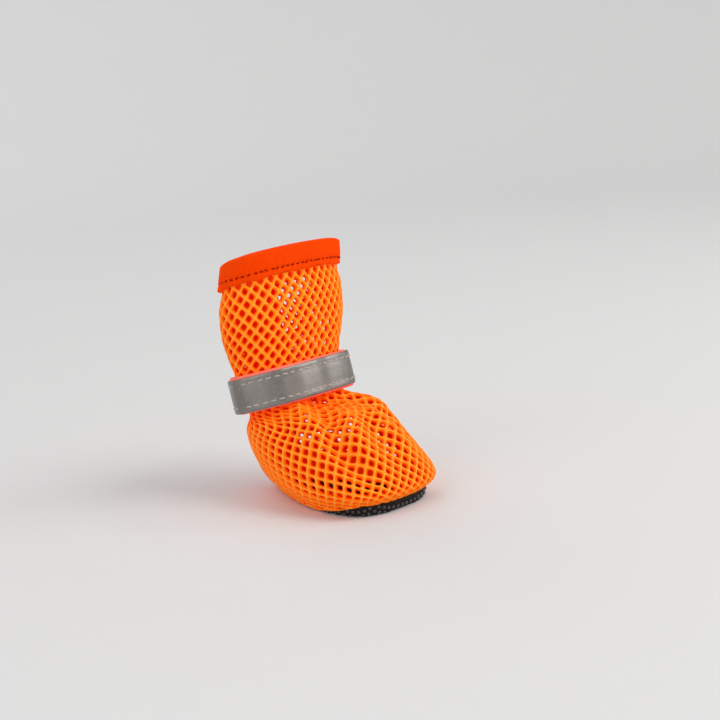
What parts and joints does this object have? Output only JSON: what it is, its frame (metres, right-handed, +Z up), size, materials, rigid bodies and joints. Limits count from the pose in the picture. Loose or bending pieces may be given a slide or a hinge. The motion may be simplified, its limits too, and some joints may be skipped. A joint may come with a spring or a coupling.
{
  "type": "dog boot",
  "caption": "Orange mesh dog boot with a thin nubbed fabric sole, a taped collar and a reflective ankle strap, for either paw.",
  "frame": {"origin": "on the sole's flat underside, halfway along its length and on its centre line", "axes": "+Z up from the floor through the collar, -Y toward the toe, X across the boot, which is symmetric"},
  "size_m": [0.0454, 0.0603, 0.0756],
  "materials": {
    "mesh": "open fluorescent orange diamond mesh of shiny yarn",
    "sole_fabric": "black coated fabric with rows of small shiny nubs",
    "tape": "fine ribbed red-orange binding tape",
    "webbing": "fluorescent pink-orange webbing",
    "reflective": "grey glass-bead reflective tape, satin"
  },
  "bodies": {
    "root": {"upper": "mesh", "sole": "sole_fabric", "seam_binding": "tape", "collar_binding": "tape", "back_binding_left": "tape", "back_binding_right": "tape", "strap": "webbing", "reflective_tape": "reflective"}
  },
  "joints": []
}
